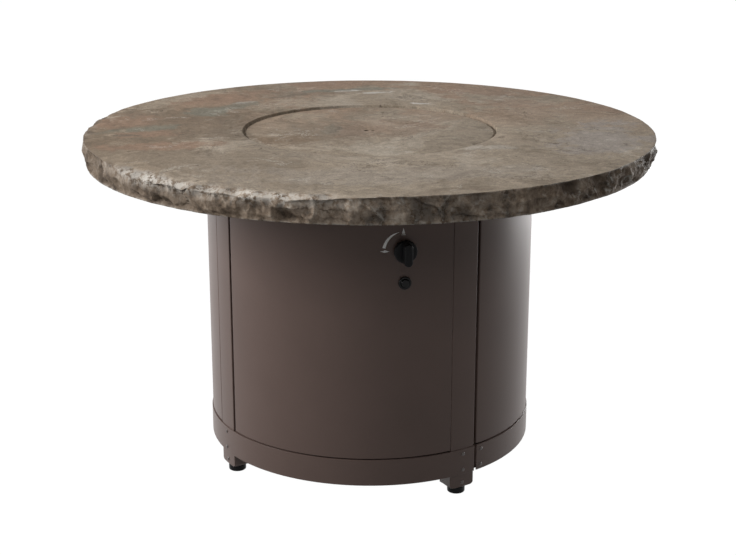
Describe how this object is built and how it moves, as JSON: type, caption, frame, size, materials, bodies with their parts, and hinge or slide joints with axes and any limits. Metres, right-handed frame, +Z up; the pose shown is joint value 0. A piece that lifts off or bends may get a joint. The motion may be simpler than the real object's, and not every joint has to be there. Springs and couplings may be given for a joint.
{
  "type": "fire pit",
  "caption": "Round gas fire-pit table: cast stone-look top with a chiselled edge and lift-off burner cover on a dark drum base with a tank door, knob, igniter and levelling feet.",
  "frame": {"origin": "on the ground under the middle of the table", "axes": "+Z up, -Y towards the front with the knob, +X to the right seen from the front"},
  "size_m": [1.2154, 1.2151, 0.716],
  "materials": {
    "cast_stone": "honed face, chiselled rim",
    "bronze_paint": "satin powder coat",
    "black_plastic": "matt moulded",
    "gloss_black_plastic": "polished",
    "stainless_steel": "brushed",
    "zinc_steel": "zinc plated",
    "aluminium_tube": "drawn",
    "cast_aluminium": "die cast",
    "brass": "turned",
    "black_rubber": "matt",
    "white_ceramic": "plain",
    "fire_glass": "broken tempered glass"
  },
  "bodies": {
    "base": {"air_mixer": "brass", "back_panel": "bronze_paint", "band_rivets": "bronze_paint", "base_floor": "bronze_paint", "bottom_band": "bronze_paint", "burner_elbow": "brass", "burner_nut": "zinc_steel", "burner_pan": "stainless_steel", "burner_ring": "stainless_steel", "cover_bumpers": "black_rubber", "door_catches": "black_plastic", "electrode_bracket": "stainless_steel", "electrode_insulator": "white_ceramic", "electrode_rod": "stainless_steel", "fire_glass": "fire_glass", "flame_sensor": "stainless_steel", "foot_nuts": "zinc_steel", "foot_plates": "bronze_paint", "foot_rivets": "bronze_paint", "front_panel": "bronze_paint", "gas_tube": "aluminium_tube", "hinge_pins": "zinc_steel", "hinge_posts": "bronze_paint", "igniter_bezel": "gloss_black_plastic", "igniter_nut": "black_plastic", "inlet_fitting": "brass", "left_panel": "bronze_paint", "post_back_left": "bronze_paint", "post_back_right": "bronze_paint", "post_front_left": "bronze_paint", "post_front_right": "bronze_paint", "ring_rivets": "bronze_paint", "table_top": "cast_stone", "tank_ring": "bronze_paint", "top_pads": "black_rubber", "top_ring": "bronze_paint", "tube_nuts": "brass", "valve_body": "cast_aluminium", "valve_bracket": "zinc_steel", "valve_screws": "zinc_steel"},
    "cover": {"burner_cover": "cast_stone"},
    "door": {"door_panel": "bronze_paint", "door_band": "bronze_paint", "door_rivets": "bronze_paint", "hinge_doors": "bronze_paint"},
    "push_rod": {"stem_washer": "zinc_steel"},
    "knob": {"valve_stem": "zinc_steel", "control_knob": "black_plastic"},
    "igniter": {"igniter_button": "gloss_black_plastic"},
    "foot_front_right": {"foot_pad_front_right": "black_plastic", "foot_stud_front_right": "zinc_steel"},
    "foot_back_right": {"foot_pad_back_right": "black_plastic", "foot_stud_back_right": "zinc_steel"},
    "foot_back_left": {"foot_pad_back_left": "black_plastic", "foot_stud_back_left": "zinc_steel"},
    "foot_front_left": {"foot_pad_front_left": "black_plastic", "foot_stud_front_left": "zinc_steel"}
  },
  "joints": [
    {"name": "cover_lift", "type": "slide", "parent": "base", "child": "cover", "axis": [0, 0, 1], "range_m": [0, 0.25]},
    {"name": "door_swing", "type": "hinge", "parent": "base", "child": "door", "pos_m": [0.29896, 0.19106, 0.35], "axis": [0, 0, 1], "range_deg": [0, 110]},
    {"name": "knob_push", "type": "slide", "parent": "base", "child": "push_rod", "axis": [-0.333, 0.9429, 0], "range_m": [0, 0.003], "stiffness_N_per_m": 900, "springref_m": -0.004},
    {"name": "knob_turn", "type": "hinge", "parent": "push_rod", "child": "knob", "pos_m": [0.11654, -0.33003, 0.543], "axis": [0.333, -0.9429, 0], "range_deg": [0, 90]},
    {"name": "igniter_press", "type": "slide", "parent": "base", "child": "igniter", "axis": [-0.333, 0.9429, 0], "range_m": [0, 0.003], "stiffness_N_per_m": 800, "springref_m": -0.004},
    {"name": "level_front_right", "type": "slide", "parent": "base", "child": "foot_front_right", "axis": [0, 0, -1], "range_m": [0, 0.012]},
    {"name": "level_back_right", "type": "slide", "parent": "base", "child": "foot_back_right", "axis": [0, 0, -1], "range_m": [0, 0.012]},
    {"name": "level_back_left", "type": "slide", "parent": "base", "child": "foot_back_left", "axis": [0, 0, -1], "range_m": [0, 0.012]},
    {"name": "level_front_left", "type": "slide", "parent": "base", "child": "foot_front_left", "axis": [0, 0, -1], "range_m": [0, 0.012]}
  ]
}
